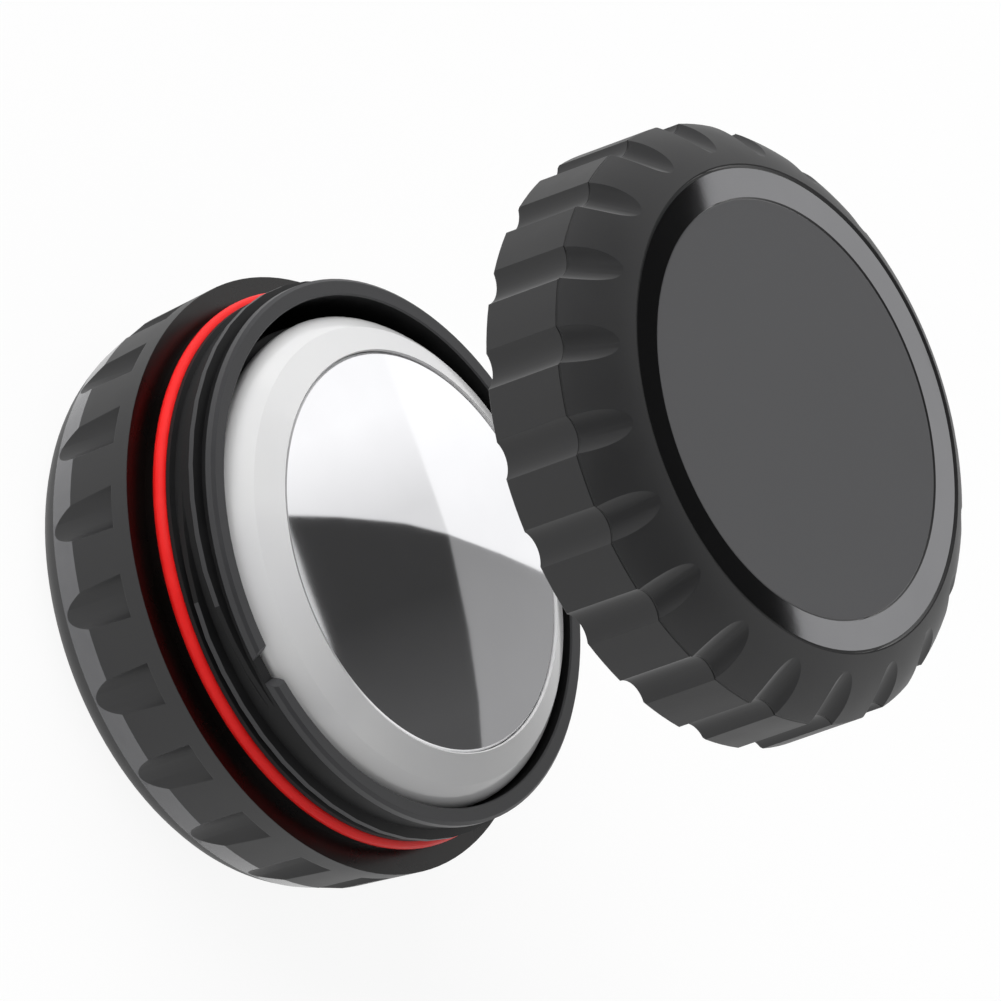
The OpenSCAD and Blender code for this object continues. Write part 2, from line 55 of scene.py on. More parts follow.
def linear(hexText):
    # an sRGB hex colour as the linear one that shaders take
    curve, channels = srgbCurve, []
    for start in (1, 3, 5):
        value = int(hexText[start:start + 2], 16) / 255
        if value <= curve["foot"]:
            channels.append(value / curve["slope"])
        else:
            channels.append(((value + curve["offset"]) / (1 + curve["offset"])) ** curve["power"])
    return channels + [1.0]


tagShift = 0.5  # the tag and its dish lie this far along +X in the pocket, in mm
facingUp = 0.9  # the normal of a top face rises by more than this


def addNode(tree, kind, settings=None, links=None):
    node = tree.nodes.new(kind)
    for key, value in (settings or {}).items():
        if isinstance(key, str) and hasattr(node, key):
            setattr(node, key, value)
        else:
            node.inputs[key].default_value = value
    for key, source in (links or {}).items():
        tree.links.new(source, node.inputs[key])
    return node


# The camera of the photograph, found by fitting the base's ledge and the cap's face to it. Lengths in mm.
photoView = {
    "azimuth": 266.4,  # where the camera stands, in degrees from +X
    "elevation": 35.754,
    "roll": 70.33,
    "distance": 937.5,
    "picture": 1001,  # the photograph's width in pixels
    "focal": 15000.0,  # in the same pixels
    "aim": (0.0, 0.0, 9.4),  # this point
    "aimPixel": (332.145, 574.818),  # shows at this pixel
    "sensor": 36.0,
    "clip": (10.0, 20000.0),
}


def backwards(view):
    # from the object to the camera
    azimuth, elevation = radians(view["azimuth"]), radians(view["elevation"])
    level = cos(elevation)
    return Vector((level * cos(azimuth), level * sin(azimuth), sin(elevation)))


def makeCamera(view):
    turn = (-backwards(view)).to_track_quat("-Z", "Y") @ Quaternion((0, 0, 1), radians(view["roll"]))
    half, reach = view["picture"] / 2, view["distance"]
    shift = Vector((
        (view["aimPixel"][0] - half) / view["focal"] * reach,
        (half - view["aimPixel"][1]) / view["focal"] * reach,
        -reach,
    ))
    data = bpy.data.cameras.new("photoCamera")
    data.sensor_width = view["sensor"]
    data.lens = view["focal"] * data.sensor_width / view["picture"]
    data.clip_start, data.clip_end = (mm(limit) for limit in view["clip"])
    camera = bpy.data.objects.new("photoCamera", data)
    camera.rotation_mode = "QUATERNION"
    camera.rotation_quaternion = turn
    camera.location = mm(Vector(view["aim"]) - turn @ shift)
    scene.collection.objects.link(camera)
    scene.camera = camera


makeCamera(photoView)
scene.view_settings.view_transform = "Standard"
print("camera placed")


# Finishes. Each starts from two close tones, a range of roughness and a fine relief, with sizes in mm.

finishNoise = {
    "driftDetail": 3.0, "driftRoughness": 0.55,  # slow changes of tone and roughness
    "grainDetail": 2.0, "grainRoughness": 0.6,
    "toneStops": (0.35, 0.65), "roughStops": (0.3, 0.7),
    "edgeSamples": 6,
}


def startFinish(name, look):
    material = bpy.data.materials.new(name)
    material.use_nodes = True
    tree = material.node_tree
    shader = tree.nodes["Principled BSDF"]
    shader.inputs["Metallic"].default_value = look.get("metallic", 0.0)
    if "ior" in look:
        shader.inputs["IOR"].default_value = look["ior"]
    place = addNode(tree, "ShaderNodeTexCoord").outputs["Object"]
    drift = addNode(tree, "ShaderNodeTexNoise", {
        "Scale": 1 / mm(look["patch"]), "Detail": finishNoise["driftDetail"],
        "Roughness": finishNoise["driftRoughness"],
    }, {"Vector": place})
    tone = addNode(tree, "ShaderNodeValToRGB", {}, {"Fac": drift.outputs["Fac"]})
    for stop, spot, shade in zip(tone.color_ramp.elements, finishNoise["toneStops"], look["tones"]):
        stop.position, stop.color = spot, linear(shade)
    tree.links.new(tone.outputs["Color"], shader.inputs["Base Color"])
    grain = addNode(tree, "ShaderNodeTexNoise", {
        "Scale": 1 / mm(look["grain"]), "Detail": finishNoise["grainDetail"],
        "Roughness": finishNoise["grainRoughness"],
    }, {"Vector": place})
    rough = addNode(tree, "ShaderNodeMapRange", {
        "From Min": finishNoise["roughStops"][0], "From Max": finishNoise["roughStops"][1],
        "To Min": look["rough"][0], "To Max": look["rough"][1],
    }, {"Value": drift.outputs["Fac"]})
    tree.links.new(rough.outputs["Result"], shader.inputs["Roughness"])
    bump = addNode(tree, "ShaderNodeBump", {"Distance": mm(look["relief"])}, {
        "Height": grain.outputs["Fac"],
    })
    if look.get("edge"):
        # a moulded or turned edge is never sharp: this much of it catches the light
        soft = addNode(tree, "ShaderNodeBevel", {
            "samples": finishNoise["edgeSamples"], "Radius": mm(look["edge"]),
        })
        tree.links.new(soft.outputs["Normal"], bump.inputs["Normal"])
    tree.links.new(bump.outputs["Normal"], shader.inputs["Normal"])
    return {"material": material, "tree": tree, "shader": shader, "place": place, "bump": bump}


def addRelief(finish, source, depth):
    # a second relief on top of the grain, depth in mm
    tree, bump = finish["tree"], finish["bump"]
    over = addNode(tree, "ShaderNodeBump", {"Distance": mm(depth)}, {
        "Height": source, "Normal": bump.outputs["Normal"],
    })
    tree.links.new(over.outputs["Normal"], finish["shader"].inputs["Normal"])
    finish["bump"] = over


def ringRelief(finish, spacing, depth, centre=0.0):
    # turned or moulded rings round an upright axis at x = centre
    tree = finish["tree"]
    flat = addNode(tree, "ShaderNodeVectorMath", {
        "operation": "MULTIPLY_ADD", 1: (1, 1, 0), 2: (-mm(centre), 0, 0),
    }, {0: finish["place"]})
    radius = addNode(tree, "ShaderNodeVectorMath", {"operation": "LENGTH"}, {0: flat.outputs[0]})
    turns = addNode(tree, "ShaderNodeMath", {
        "operation": "MULTIPLY", 1: 2 * pi / mm(spacing),
    }, {0: radius.outputs["Value"]})
    wave = addNode(tree, "ShaderNodeMath", {"operation": "SINE"}, {0: turns.outputs[0]})
    addRelief(finish, wave.outputs[0], depth)


# what a wave texture of scale 1 goes through in a metre along an axis
bandRadians = {"Z": 20, "DIAGONAL": 10}

# Black ABS from a spark-eroded mould: satin, with a very fine grain and soft edges
blackCase = {"tones": ("#1b1b1c", "#212122"), "rough": (0.46, 0.54), "patch": 6.0, "grain": 0.16,
             "relief": 0.004, "edge": 0.12, "ior": 1.52}
casePlastic = startFinish("mouldedBlackAbs", blackCase)
capPlastic = startFinish("mouldedBlackAbsCap", {**blackCase, "edge": 0.06})  # its edges are crisper

# The parting line of the mould runs round the cap where its side turns into the shoulder
partingLine = {"height": 43.72, "width": 0.08, "depth": 0.11}
heights = addNode(capPlastic["tree"], "ShaderNodeSeparateXYZ", {}, {0: capPlastic["place"]})
away = addNode(capPlastic["tree"], "ShaderNodeMath", {
    "operation": "SUBTRACT", 1: mm(partingLine["height"]),
}, {0: heights.outputs["Z"]})
away = addNode(capPlastic["tree"], "ShaderNodeMath", {"operation": "ABSOLUTE"}, {0: away.outputs[0]})
line = addNode(capPlastic["tree"], "ShaderNodeMapRange", {
    "From Min": 0.0, "From Max": mm(partingLine["width"]), "To Min": 0.0, "To Max": 1.0,
}, {"Value": away.outputs[0]})
addRelief(capPlastic, line.outputs["Result"], partingLine["depth"])

# The land that the cap seals on is polished in the mould, so it mirrors the neck and the ring; its
# near-black, reddish tone is painted shade beside the neck and a painted reflection of the red ring
sealLandShade = startFinish("polishedBlackAbsPaintedShade", {
    "tones": ("#080504", "#0c0706"), "rough": (0.24, 0.32), "patch": 4.0, "grain": 0.4, "relief": 0.001,
    "ior": 1.42})

# Painted shade in the hollows: the thread roots, the pocket walls, the cap's face recess and the face ring's
# sides get a darker, duller black, with a coarser grain
hollowShadePlastic = startFinish("mouldedBlackAbsPaintedShade", {
    "tones": ("#0d0d0e", "#131314"), "rough": (0.5, 0.6), "patch": 4.0, "grain": 0.2, "relief": 0.006,
    "edge": 0.03, "ior": 1.34})

# The neck's lip, rim and thread crests are slightly smoother and a shade lighter: the lighter tone is
# painted light on these raised faces
rimLitPlastic = startFinish("flatBlackAbsPaintedLight", {
    "tones": ("#2e2e30", "#343436"), "rough": (0.42, 0.5), "patch": 5.0, "grain": 0.2, "relief": 0.003,
    "edge": 0.06, "ior": 1.48})

# The bevel above the foot is smoother and glossier than the grained side; its much lighter grey is a painted
# highlight, the pale floor's light bouncing off it
bevelHighlight = startFinish("smoothBlackAbsPaintedHighlight", {
    "tones": ("#5e5e61", "#666669"), "rough": (0.16, 0.22), "patch": 6.0, "grain": 0.3, "relief": 0.001,
    "edge": 0.08, "ior": 1.54})

# Glass-filled nylon of the dish and the cell's gasket: dull, slightly streaky
innerPlastic = startFinish("mouldedNylon", {
    "tones": ("#1d1d1f", "#28282a"), "rough": (0.5, 0.6), "patch": 2.0, "grain": 0.2, "relief": 0.008,
    "edge": 0.1, "ior": 1.53})

# Black nitrile rubber, matt, with fine moulded rings
blackRubber = startFinish("mouldedNitrileRubber", {
    "tones": ("#161616", "#202020"), "rough": (0.65, 0.8), "patch": 3.0, "grain": 0.15, "relief": 0.01,
    "ior": 1.52})
rubberRings = {"spacing": 1.2, "depth": 0.05}
ringRelief(blackRubber, **rubberRings)

# Red silicone rubber of the seal ring: bright, smooth and slightly oily
redSilicone = startFinish("mouldedSiliconeRed", {
    "tones": ("#fa1817", "#ff2220"), "rough": (0.38, 0.5), "patch": 2.0, "grain": 0.12, "relief": 0.003,
    "ior": 1.37})

# Piano-black ring under a dark metal coat: a dark mirror
ringGloss = startFinish("darkMetallisedRing", {
    "tones": ("#919193", "#959597"), "rough": (0.025, 0.035), "patch": 8.0, "grain": 1.5, "relief": 0.0002,
    "metallic": 1.0})

# Satin printed polycarbonate disc: even dark grey with a fine bead
discSatin = startFinish("satinPolycarbonate", {
    "tones": ("#454547", "#48484a"), "rough": (0.5, 0.56), "patch": 9.0, "grain": 0.09, "relief": 0.002,
    "ior": 1.585})

# Polished white polycarbonate of the tag: glossy, faintly cool
whiteShell = startFinish("polishedWhitePolycarbonate", {
    "tones": ("#ededee", "#efefef"), "rough": (0.1, 0.16), "patch": 7.0, "grain": 1.0, "relief": 0.0008,
    "ior": 1.585})

# Bead-free white PBT of the frame inside the tag: matt with flow marks
framePlastic = startFinish("mouldedWhitePbt", {
    "tones": ("#d6d6d2", "#e2e2df"), "rough": (0.42, 0.55), "patch": 2.5, "grain": 0.18, "relief": 0.006,
    "edge": 0.05, "ior": 1.57})

# Mirror-polished stainless steel cover
mirrorSteel = startFinish("mirrorStainless", {
    "tones": ("#dfdfe1", "#e3e3e5"), "rough": (0.02, 0.035), "patch": 10.0, "grain": 2.0, "relief": 0.0001,
    "metallic": 1.0})

# The cover's rolled edge is only brushed, so it catches light from all round
steelEdge = startFinish("brushedStainlessEdge", {
    "tones": ("#f4f4f5", "#f8f8f9"), "rough": (0.3, 0.4), "patch": 3.0, "grain": 0.1, "relief": 0.002,
    "metallic": 1.0})

# Nickel-plated steel of the coin cell: bright with turned rings
cellSteel = startFinish("nickelPlatedSteel", {
    "tones": ("#b9bbbd", "#c8cacc"), "rough": (0.2, 0.3), "patch": 3.0, "grain": 0.2, "relief": 0.002,
    "edge": 0.05, "metallic": 1.0})
cellRings = {"spacing": 0.35, "depth": 0.003, "centre": tagShift}
ringRelief(cellSteel, **cellRings)

# Zinc-plated yoke: grey, faintly clouded
yokeSteel = startFinish("zincPlatedSteel", {
    "tones": ("#8f9498", "#a7abae"), "rough": (0.3, 0.42), "patch": 1.0, "grain": 0.15, "relief": 0.004,
    "edge": 0.05, "metallic": 1.0})

# Sintered magnet: dark grey, grainy
magnetMetal = startFinish("sinteredMagnet", {
    "tones": ("#5d6064", "#73777b"), "rough": (0.35, 0.5), "patch": 0.6, "grain": 0.12, "relief": 0.01,
    "edge": 0.05, "metallic": 1.0})

# Enamelled copper wire of the coil and bare copper of the traces
copper = startFinish("drawnCopper", {
    "tones": ("#c4713d", "#d98350"), "rough": (0.25, 0.38), "patch": 0.8, "grain": 0.1, "relief": 0.004,
    "metallic": 1.0})
coilTurns = {"pitch": 0.16, "depth": 0.03}
wires = addNode(copper["tree"], "ShaderNodeTexWave", {
    "wave_type": "BANDS", "bands_direction": "Z",
    "Scale": 2 * pi / mm(bandRadians["Z"] * coilTurns["pitch"]),
}, {"Vector": copper["place"]})
addRelief(copper, wires.outputs["Fac"], coilTurns["depth"])

# Gold-plated brass springs
goldBrass = startFinish("goldPlatedBrass", {
    "tones": ("#dcb04f", "#e7c063"), "rough": (0.18, 0.28), "patch": 1.0, "grain": 0.2, "relief": 0.002,
    "edge": 0.03, "metallic": 1.0})

# Glass-epoxy board under green solder mask: the weave shows through the gloss
boardLaminate = startFinish("glassEpoxyBoard", {
    "tones": ("#12472c", "#1a5a39"), "rough": (0.22, 0.34), "patch": 1.2, "grain": 0.3, "relief": 0.003,
    "ior": 1.55})
glassWeave = {"pitch": 0.9, "waver": 0.4, "depth": 0.01}
weave = addNode(boardLaminate["tree"], "ShaderNodeTexWave", {
    "wave_type": "BANDS", "bands_direction": "DIAGONAL", "Distortion": glassWeave["waver"],
    "Scale": 2 * pi / mm(bandRadians["DIAGONAL"] * glassWeave["pitch"]),
}, {"Vector": boardLaminate["place"]})
addRelief(boardLaminate, weave.outputs["Fac"], glassWeave["depth"])

# Moulded epoxy of the chips: matt black with a sandblasted top
chipResin = startFinish("mouldedChipEpoxy", {
    "tones": ("#1c1c1f", "#2a2a2d"), "rough": (0.5, 0.65), "patch": 0.5, "grain": 0.08, "relief": 0.006,
    "edge": 0.04, "ior": 1.55})

# Pressed powder inside the cell: dull and crumbly
cellPowder = startFinish("pressedPowder", {
    "tones": ("#2c2b2a", "#454341"), "rough": (0.8, 0.95), "patch": 0.5, "grain": 0.1, "relief": 0.03})

# Open-cell polyurethane foam: dull grey, with pores drawn about twice their real 0.3 mm so that they show
greyFoam = startFinish("openCellFoam", {
    "tones": ("#38383a", "#4a4a4c"), "rough": (0.85, 0.95), "patch": 1.6, "grain": 0.2, "relief": 0.05})
foamPores = {"size": 0.6, "depth": 0.3, "sheen": 0.15}
greyFoam["shader"].inputs["Sheen Weight"].default_value = foamPores["sheen"]
pores = addNode(greyFoam["tree"], "ShaderNodeTexVoronoi", {
    "feature": "SMOOTH_F1", "Scale": 1 / mm(foamPores["size"]),
}, {"Vector": greyFoam["place"]})
addRelief(greyFoam, pores.outputs["Distance"], foamPores["depth"])
print("finishes made")


def dress(piece, *finishes):
    piece.data.materials.clear()
    for finish in finishes:
        piece.data.materials.append(finish["material"])


def dressTop(piece, topFinish, sideFinish):
    dress(piece, topFinish, sideFinish)
    for face in piece.data.polygons:
        if face.normal.z < facingUp:
            face.material_index = 1


dressed = {
    "foot_pad": blackRubber, "cover_seal": blackRubber,
    "seal_ring": redSilicone,
    "tag_dish": innerPlastic, "cell_gasket": innerPlastic,
    "cap_face_disc": discSatin,
    "tag_frame": framePlastic, "cover_carrier": framePlastic,
    "antenna_traces": copper, "voice_coil": copper,
    "circuit_board": boardLaminate, "board_chips": chipResin,
    "contact_centre": goldBrass, "contacts_side": goldBrass,
    "speaker_yoke": yokeSteel, "speaker_magnet": magnetMetal,
    "cell_can": cellSteel, "cell_cap": cellSteel, "cell_core": cellPowder,
}
for nodeName, finish in dressed.items():
    for holder in nodes[nodeName].material_slots:
        holder.material = finish["material"]


# Pieces that need smoother or softer forms than the CAD solids

joinWithin = 0.002  # points of the loose triangles that lie this close are one point, in mm
# an edge that turns by more degrees than this stays crisp
smoothing = {"case": 24, "faceRing": 30, "tag": 32, "cover": 25}


def takeUp(piece):
    # only this piece is selected and active
    bpy.ops.object.select_all(action="DESELECT")
    piece.select_set(True)
    bpy.context.view_layer.objects.active = piece


def selectFaces(piece, wanted):
    # ends in edit mode with just the wanted faces selected
    bpy.ops.object.mode_set(mode="EDIT")
    bpy.ops.mesh.select_mode(type="FACE")
    bpy.ops.mesh.select_all(action="DESELECT")
    bpy.ops.object.mode_set(mode="OBJECT")
    for face in piece.data.polygons:
        face.select = wanted(face)
    bpy.ops.object.mode_set(mode="EDIT")


def settle(piece, name):
    # place goes into the mesh, faces point outwards
    bpy.ops.object.mode_set(mode="EDIT")
    bpy.ops.mesh.select_all(action="SELECT")
    bpy.ops.mesh.normals_make_consistent(inside=False)
    bpy.ops.object.mode_set(mode="OBJECT")
    bpy.ops.object.transform_apply(location=True, rotation=True, scale=True)
    piece.name = name
    piece.data.name = name


def smoothCopy(name, node, body, angle):
    # the CAD shape with its loose triangles joined, so that curved faces shade as one
    piece = bpy.data.objects.new(name, nodes[node].data.copy())
    scene.collection.objects.link(piece)
    takeUp(piece)
    bpy.ops.mesh.customdata_custom_splitnormals_clear()
    bpy.ops.object.mode_set(mode="EDIT")
    bpy.ops.mesh.select_all(action="SELECT")
    bpy.ops.mesh.remove_doubles(threshold=mm(joinWithin))
    bpy.ops.object.mode_set(mode="OBJECT")
    bpy.ops.object.shade_smooth_by_angle(angle=radians(angle))
    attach(piece, body)
    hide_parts(node)
    return piece


def radiusAt(point, centre=0.0):
    # distance from an upright axis at x = centre, in mm
    return hypot(point.x - mm(centre), point.y) / mm(1)


def heightAt(point):
    return point.z / mm(1)


baseShell = smoothCopy("baseShell", "base_body", "base", smoothing["case"])
# The base's zones: the seal land and the hollows take dark tones of painted shade, the bevel a painted
# highlight, and the lip, rim and thread crests painted light
baseFinishes = {
    "case": casePlastic, "land": sealLandShade, "bevel": bevelHighlight, "deep": hollowShadePlastic, "rim": rimLitPlastic,
}
dress(baseShell, *baseFinishes.values())
zones = {
    "land": 9.4, "landInner": 17.6,  # the flat that the cap closes on
    "wallTop": 10.1, "wallRadius": 17.7,  # the plain neck below the seal ring
    "bevel": (2.4, 4.35), "bevelSlope": -0.294, "bevelRadii": (18.35, 18.95), "bevelInner": 18.25,
    "threads": (10.1, 14.3), "neckRadius": 18.3, "crestRadius": 17.88,
    "pocketFloor": 3.0, "pocketRadius": 16.62, "steep": 0.5,  # a wall's normal rises by less than this
    "slack": 0.03,
}


def baseZone(face, size):
    height, radius, rise = heightAt(face.center), radiusAt(face.center), face.normal.z
    if abs(height - size["land"]) < size["slack"] and rise > facingUp and radius > size["landInner"]:
        return "land"
    if size["land"] < height < size["wallTop"] and abs(radius - size["wallRadius"]) < size["slack"]:
        return "land"
    onNeck = height > size["threads"][0] and radius < size["neckRadius"]
    if onNeck and height < size["threads"][1] and radius < size["crestRadius"]:
        return "deep"
    if height > size["pocketFloor"] and radius < size["pocketRadius"] and abs(rise) < size["steep"]:
        return "deep"
    if onNeck:
        return "rim"  # crests of the thread, lip and rim
    onBevel = size["bevel"][0] < height < size["bevel"][1] and radius > size["bevelInner"]
    if onBevel and abs(rise - size["bevelSlope"]) < size["slack"]:
        return "bevel"
    return "case"


finishNames = list(baseFinishes)
for face in baseShell.data.polygons:
    face.material_index = finishNames.index(baseZone(face, zones))


def markRing(piece, radius, height, slack, centre=0.0):
    # the edges of one ring stay crisp, though they turn by less than the smoothing angle
    points = piece.data.vertices
    for edge in piece.data.edges:
        if all(abs(heightAt(points[i].co) - height) < slack
               and abs(radiusAt(points[i].co, centre) - radius) < slack for i in edge.vertices):
            edge.use_edge_sharp = True


for bevelHeight, bevelRadius in zip(zones["bevel"], zones["bevelRadii"]):
    markRing(baseShell, bevelRadius, bevelHeight, zones["slack"])

capShell = smoothCopy("capShell", "cap_body", "cap", smoothing["case"])
# the cap's face recess takes the darker black of painted shade
dress(capShell, capPlastic, hollowShadePlastic)
faceRecess = {"above": 46.0, "radius": 15.62}
for face in capShell.data.polygons:
    if heightAt(face.center) > faceRecess["above"] and radiusAt(face.center) < faceRecess["radius"]:
        face.material_index = 1  # the recess round the face plates

# the cap's side turns into its shoulder softly, over a narrow strip below and above the parting line
softSeam = {"height": partingLine["height"], "strip": 0.7, "slack": 0.03, "landRadius": 19.3}


def soften(piece, size):
    takeUp(piece)
    selectFaces(piece, lambda face: True)
    bpy.ops.mesh.bisect(plane_co=(0, 0, mm(size["height"] - size["strip"])), plane_no=(0, 0, 1))
    bpy.ops.object.mode_set(mode="OBJECT")
    points = piece.data.vertices
    for edge in piece.data.edges:
        if all(abs(heightAt(points[i].co) - size["height"]) < size["slack"]
               and radiusAt(points[i].co) > size["landRadius"] for i in edge.vertices):
            edge.use_edge_sharp = False


soften(capShell, softSeam)

# only the top of the face ring has the metal coat; its sides take the darker black of painted shade
faceRing = smoothCopy("faceRing", "cap_face_ring", "cap", smoothing["faceRing"])
dressTop(faceRing, ringGloss, hollowShadePlastic)

tagDome = smoothCopy("tagDome", "tag_shell", "tag", smoothing["tag"])
dress(tagDome, whiteShell)
# the shell's upper slope is straight from its lip down to a crease, and round only below it
shellSlope = {"lip": 13.08, "crease": 14.829, "top": 16.6, "creaseHeight": 15.585, "slack": 0.02}


def straightenSlope(piece, size):
    fall = (size["top"] - size["creaseHeight"]) / (size["crease"] - size["lip"])
    for point in piece.data.vertices:
        radius = radiusAt(point.co, tagShift)
        if heightAt(point.co) > size["creaseHeight"] + size["slack"] and radius > size["lip"]:
            point.co.z = mm(size["top"] - fall * (radius - size["lip"]))
    markRing(piece, size["crease"], size["creaseHeight"], size["slack"], tagShift)


straightenSlope(tagDome, shellSlope)
print("shells joined and smoothed")

coverPlate = {"radius": 12.96, "thick": 0.28, "edge": 0.16, "crown": 0.1, "top": 16.6, "sides": 192,
              "rings": 15, "middle": 0.5}  # the fan in the middle reaches out half as far as a ring is wide


def makeCoverPlate(size):
    wall = size["thick"] - size["edge"]
    flatTop = size["top"] - size["crown"]
    bpy.ops.object.select_all(action="DESELECT")
    bpy.ops.mesh.primitive_cylinder_add(
        vertices=size["sides"], radius=mm(size["radius"]), depth=mm(wall),
        location=(mm(tagShift), 0, mm(flatTop - size["edge"] - wall / 2)))
    plate = bpy.context.object
    selectFaces(plate, lambda face: face.normal.z > facingUp)
    bpy.ops.mesh.inset(thickness=mm(size["edge"]), depth=mm(size["edge"]))
    # the crown: rings that rise along a shallow parabola
    reach = size["radius"] - size["edge"]
    radius, height = reach, 0.0
    step = reach / (size["rings"] + size["middle"])
    for ring in range(size["rings"]):
        nextRadius = reach - (ring + 1) * step
        nextHeight = size["crown"] * (1 - (nextRadius / reach) ** 2)
        bpy.ops.mesh.inset(thickness=mm(radius - nextRadius), depth=mm(nextHeight - height))
        radius, height = nextRadius, nextHeight
    bpy.ops.mesh.poke()
    settle(plate, "coverPlate")
    bpy.ops.object.shade_smooth_by_angle(angle=radians(smoothing["cover"]))
    return plate


plate = makeCoverPlate(coverPlate)
dressTop(plate, mirrorSteel, steelEdge)
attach(plate, "cover")
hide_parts("tag_cover")

# Die-cut foam: rounded edges, faces that swell a little and a slightly barrelled side
foamParts = {
    "foamCushion": {"node": "cushion", "body": "base", "radius": 14.4, "low": 2.34, "high": 7.46,
                    "edge": 0.55, "barrel": 0.09, "fill": 0.7},
    "foamLiner": {"node": "cap_liner", "body": "liner", "radius": 14.9, "low": 42.44, "high": 45.32,
                  "edge": 0.4, "barrel": 0.07, "fill": 0.7},
}
foamForm = {
    "sides": 120, "edgeSteps": 4, "swell": 0.03, "swellRun": 1.2,
    "rings": 5, "ringRun": 2.2, "faceSide": 10.0,  # the two round faces are larger than its square
    "loops": {-0.3: 0.6, 0.0: 1.0, 0.3: 0.6},  # height from the middle, as a share: part of the barrel
}


def makeFoam(name, size, form):
    tall, swell = size["high"] - size["low"], form["swell"]
    bpy.ops.object.select_all(action="DESELECT")
    bpy.ops.mesh.primitive_cylinder_add(
        vertices=form["sides"], radius=mm(size["radius"]), depth=mm(tall - 2 * swell),
        location=(0, 0, mm((size["high"] + size["low"]) / 2)))
    pad = bpy.context.object
    selectFaces(pad, lambda face: abs(face.normal.z) > facingUp)
    bpy.ops.mesh.bevel(offset=mm(size["edge"]), segments=form["edgeSteps"], affect="EDGES")
    selectFaces(pad, lambda face: abs(face.normal.z) > facingUp and face.area > mm(form["faceSide"]) ** 2)
    bpy.ops.mesh.inset(thickness=mm(form["swellRun"]), depth=mm(swell), use_individual=True)
    for ring in range(form["rings"]):
        bpy.ops.mesh.inset(thickness=mm(form["ringRun"]), use_individual=True)
    # loops round the side carry the barrel
    for share, part in form["loops"].items():
        bpy.ops.mesh.select_all(action="SELECT")
        bpy.ops.mesh.bisect(plane_co=(0, 0, pad.location.z + mm(share * tall)), plane_no=(0, 0, 1))
        grow = 1 + size["barrel"] / size["radius"] * part
        bpy.ops.transform.resize(value=(grow, grow, 1))
    settle(pad, name)
    finer = pad.modifiers.new("finer", "SUBSURF")
    finer.levels = finer.render_levels = 1
    bpy.ops.object.modifier_apply(modifier="finer")
    bpy.ops.object.shade_smooth()
    dress(pad, greyFoam)
    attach(pad, size["body"])
    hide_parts(size["node"])
    return pad


foams = {name: makeFoam(name, size, foamForm) for name, size in foamParts.items()}
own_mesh(foams["foamCushion"])
print("cover plate and foam made")


# Studio: white surroundings, a pale floor and soft light from the photograph's upper left

studio = {
    "ambient": 0.30,  # the world as diffuse light
    "floorTone": "#e4e4e4",
    "floorGlow": 0.84,  # how much of the floor is plain white to the camera
    "floorWhite": 1.08,
    "floorSide": 8000.0,  # in mm
    "floorDrop": 0.05,  # in mm, so that the foot doesn't lie in the floor's own plane
    "lamps": {
        "keyLamp": {"towards": (-0.92, -0.10, 0.38), "level": 0.90, "spread": 76},
        "frontLamp": {"towards": (0.35, -0.85, 0.30), "level": 0.08, "spread": 60},
    },
}


def seenBy(tree, *kinds):
    # 1 for rays of these kinds, otherwise 0
    rays = addNode(tree, "ShaderNodeLightPath")
    seen = rays.outputs[kinds[0]]
    for kind in kinds[1:]:
        larger = addNode(tree, "ShaderNodeMath", {"operation": "MAXIMUM"}, {0: seen, 1: rays.outputs[kind]})
        seen = larger.outputs[0]
    return seen


def makeWorld(level):
    world = bpy.data.worlds.new("studioWorld")
    world.use_nodes = True
    scene.world = world
    tree = world.node_tree
    tree.nodes.clear()
    seen = seenBy(tree, "Is Camera Ray", "Is Glossy Ray", "Is Transmission Ray")
    dim = addNode(tree, "ShaderNodeBackground", {"Color": (1, 1, 1, 1), "Strength": level})
    white = addNode(tree, "ShaderNodeBackground", {"Color": (1, 1, 1, 1), "Strength": 1.0})
    mix = addNode(tree, "ShaderNodeMixShader", {}, {0: seen, 1: dim.outputs[0], 2: white.outputs[0]})
    addNode(tree, "ShaderNodeOutputWorld", {}, {"Surface": mix.outputs[0]})


def emptyMaterial(piece, name):
    # gives the piece a material without nodes and returns its tree
    material = bpy.data.materials.new(name)
    material.use_nodes = True
    material.node_tree.nodes.clear()
    piece.data.materials.append(material)
    return material.node_tree


def makeFloor(size):
    bpy.ops.object.select_all(action="DESELECT")
    bpy.ops.mesh.primitive_plane_add(size=mm(size["floorSide"]), location=(0, 0, -mm(size["floorDrop"])))
    floor = bpy.context.object
    floor.name = "floor"
    tree = emptyMaterial(floor, "paleFloor")
    seen = seenBy(tree, "Is Camera Ray", "Is Glossy Ray")
    share = addNode(tree, "ShaderNodeMath", {"operation": "MULTIPLY", 1: size["floorGlow"]}, {0: seen})
    matt = addNode(tree, "ShaderNodeBsdfDiffuse", {"Color": linear(size["floorTone"])})
    glow = addNode(tree, "ShaderNodeEmission", {"Color": (1, 1, 1, 1), "Strength": size["floorWhite"]})
    mix = addNode(tree, "ShaderNodeMixShader", {}, {
        0: share.outputs[0], 1: matt.outputs[0], 2: glow.outputs[0]})
    addNode(tree, "ShaderNodeOutputMaterial", {}, {"Surface": mix.outputs[0]})


def makeLamp(name, lamp):
    data = bpy.data.lights.new(name, "SUN")
    data.energy = lamp["level"] * pi  # a level of 1 lights a white card to full white
    data.angle = radians(lamp["spread"])
    light = bpy.data.objects.new(name, data)
    light.rotation_mode = "QUATERNION"
    light.rotation_quaternion = Vector(lamp["towards"]).to_track_quat("Z", "Y")
    light.visible_glossy = False  # polished faces mirror only the cards and the white surroundings
    scene.collection.objects.link(light)


makeWorld(studio["ambient"])
makeFloor(studio)
for lampName, lamp in studio["lamps"].items():
    makeLamp(lampName, lamp)

